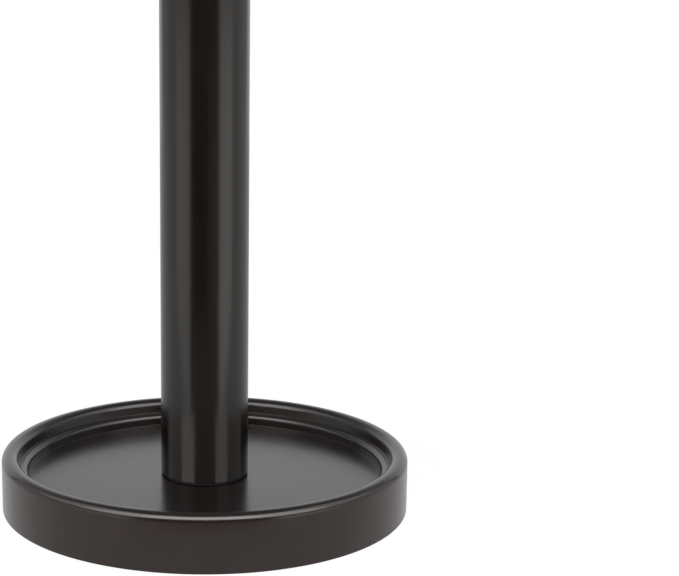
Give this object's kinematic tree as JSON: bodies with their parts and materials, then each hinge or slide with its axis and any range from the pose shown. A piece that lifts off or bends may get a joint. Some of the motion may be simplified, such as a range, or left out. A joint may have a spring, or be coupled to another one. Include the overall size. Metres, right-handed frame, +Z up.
{
  "type": "paper towel holder",
  "caption": "Free-standing paper towel holder: weighted round tray base with a plain tube post and a screw-on end cap.",
  "frame": {"origin": "middle of the foot pad's underside, on the table", "axes": "+Z up along the post; the base is round about Z, +X points at the locating pin"},
  "size_m": [0.163, 0.163, 0.3381],
  "materials": {
    "bronze_finish": "satin dark oil-rubbed bronze, smooth baked coat on steel",
    "cast_iron": "as cast, faces turned",
    "zinc_steel": "zinc plated",
    "plain_steel": "turned, oiled",
    "soft_pad": "matt black foam rubber",
    "black_rubber": "matt black rubber"
  },
  "bodies": {
    "root": {"base_tray": "bronze_finish", "base_weight": "cast_iron", "bottom_plate": "zinc_steel", "bottom_plate_screws": "zinc_steel", "foot_pad": "soft_pad", "post_flat_washer": "zinc_steel", "post_lock_washer": "zinc_steel", "post_bolt": "zinc_steel", "post_gasket": "black_rubber", "locating_pin": "zinc_steel", "post_tube": "bronze_finish", "post_foot_insert": "plain_steel", "post_top_insert": "plain_steel"},
    "cap_seal": {"finial_washer": "black_rubber"},
    "cap": {"finial_cap": "bronze_finish", "finial_stud": "zinc_steel"}
  },
  "joints": [
    {"name": "cap_lift", "type": "slide", "parent": "root", "child": "cap_seal", "axis": [0, 0, 1], "range_m": [0, 0.0075]},
    {"name": "cap_turn", "type": "hinge", "parent": "cap_seal", "child": "cap", "pos_m": [0, 0, 0.33], "axis": [0, 0, 1], "range_deg": [0, 2160]}
  ],
  "couplings": [
    {"joint": "cap_lift", "follows": "cap_turn", "m_per_rad": 0.00019894}
  ]
}
